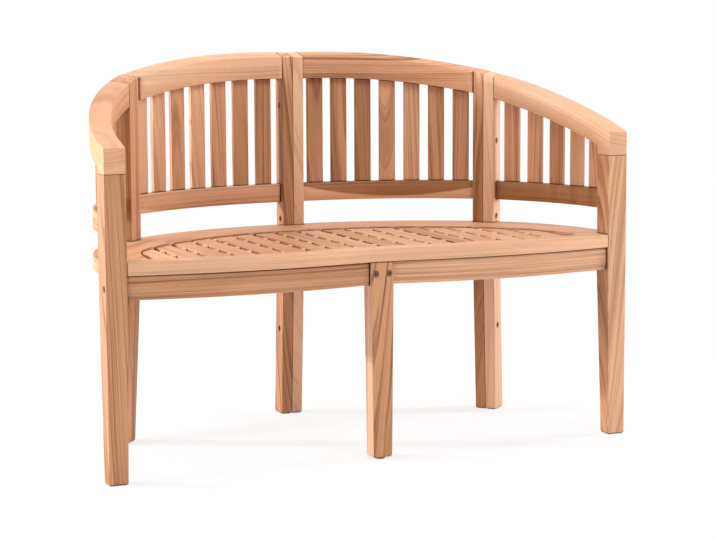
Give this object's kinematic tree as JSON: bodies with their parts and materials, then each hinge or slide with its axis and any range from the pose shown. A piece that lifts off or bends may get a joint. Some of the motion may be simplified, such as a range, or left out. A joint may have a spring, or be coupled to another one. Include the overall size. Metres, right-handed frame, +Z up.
{
  "type": "garden bench",
  "caption": "Curved teak garden bench: slatted back sweeping down into the arms, double bolted rear legs, slatted seat in a board rim with a wavy front, and a middle front leg.",
  "frame": {"origin": "on the floor, at the middle of the bench's width and depth", "axes": "+X to the right as seen from the front, along the width; +Y to the rear, towards the back; +Z up"},
  "size_m": [1.185, 0.5839, 0.8452],
  "materials": {
    "teak_frame": "fine sanded, unfinished",
    "teak_slats": "fine sanded, unfinished",
    "teak_seat": "fine sanded, unfinished",
    "bolt_steel": "dull",
    "glide_plastic": "matte"
  },
  "bodies": {
    "root": {"apron_bolt_nuts": "bolt_steel", "apron_bolts": "bolt_steel", "arm_rail_left": "teak_frame", "arm_rail_right": "teak_frame", "back_lower_rail_left": "teak_slats", "back_lower_rail_right": "teak_slats", "back_slat_left_1": "teak_slats", "back_slat_left_2": "teak_slats", "back_slat_left_3": "teak_slats", "back_slat_left_4": "teak_slats", "back_slat_left_5": "teak_slats", "back_slat_left_6": "teak_slats", "back_slat_left_7": "teak_slats", "back_slat_right_1": "teak_slats", "back_slat_right_2": "teak_slats", "back_slat_right_3": "teak_slats", "back_slat_right_4": "teak_slats", "back_slat_right_5": "teak_slats", "back_slat_right_6": "teak_slats", "back_slat_right_7": "teak_slats", "back_top_rail_left": "teak_frame", "back_top_rail_right": "teak_frame", "centre_leg_glide": "glide_plastic", "front_apron_left": "teak_frame", "front_apron_right": "teak_frame", "front_leg_centre": "teak_frame", "front_leg_left": "teak_frame", "front_leg_right": "teak_frame", "post_bolt_nuts": "bolt_steel", "post_bolts": "bolt_steel", "rear_apron_left": "teak_frame", "rear_apron_right": "teak_frame", "rear_post_centre_left": "teak_frame", "rear_post_centre_right": "teak_frame", "rear_post_corner_back_left": "teak_frame", "rear_post_corner_back_right": "teak_frame", "rear_post_corner_side_left": "teak_frame", "rear_post_corner_side_right": "teak_frame", "seat_front_rail": "teak_seat", "seat_rear_rail_left": "teak_seat", "seat_rear_rail_right": "teak_seat", "seat_side_rail_left": "teak_seat", "seat_side_rail_right": "teak_seat", "seat_slats": "teak_seat", "seat_spacers": "teak_seat", "side_apron_left": "teak_frame", "side_apron_right": "teak_frame", "side_lower_rail_left": "teak_slats", "side_lower_rail_right": "teak_slats", "side_slat_left_1": "teak_slats", "side_slat_left_2": "teak_slats", "side_slat_left_3": "teak_slats", "side_slat_left_4": "teak_slats", "side_slat_left_5": "teak_slats", "side_slat_right_1": "teak_slats", "side_slat_right_2": "teak_slats", "side_slat_right_3": "teak_slats", "side_slat_right_4": "teak_slats", "side_slat_right_5": "teak_slats"}
  },
  "joints": []
}
